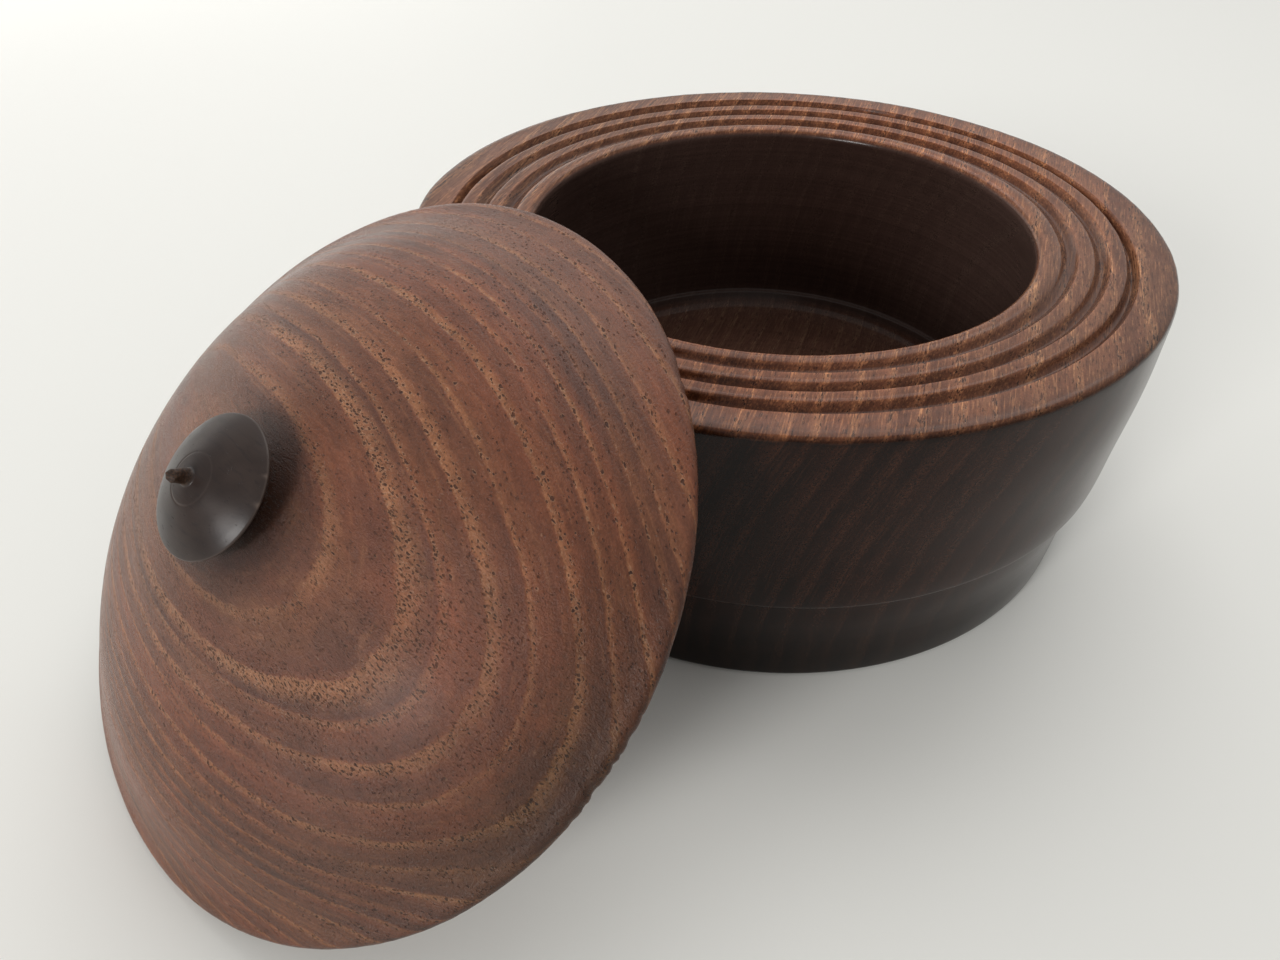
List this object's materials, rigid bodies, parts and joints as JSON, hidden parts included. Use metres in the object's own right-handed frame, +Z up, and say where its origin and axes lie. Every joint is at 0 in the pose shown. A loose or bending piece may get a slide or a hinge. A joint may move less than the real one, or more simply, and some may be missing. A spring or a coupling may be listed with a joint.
{
  "type": "lidded wooden bowl",
  "caption": "Round turned wooden bowl with a wide grooved rim, and a domed lid with a dark pointed knob that leans against it.",
  "frame": {"origin": "on the bowl's axis, on the flat underside of its foot", "axes": "+Z up along the bowl's axis; the lid leans on the -Y side, and X runs along the table, level with the lid's rim"},
  "size_m": [0.13, 0.1973, 0.0701],
  "materials": {
    "bowl_wood": "oiled, satin, reddish brown with open ring-porous grain",
    "lid_wood": "oiled, satin, reddish brown with orange-tan pore bands",
    "dark_wood": "polished dark close-grained wood"
  },
  "bodies": {
    "bowl": {"bowl": "bowl_wood"},
    "lid": {"lid": "lid_wood", "knob": "dark_wood"}
  },
  "joints": [
    {"name": "lid_lift", "type": "hinge", "parent": "bowl", "child": "lid", "pos_m": [0, 0.00186, -0.07248], "axis": [-1, 0, 0], "range_deg": [0, 40.15]}
  ]
}
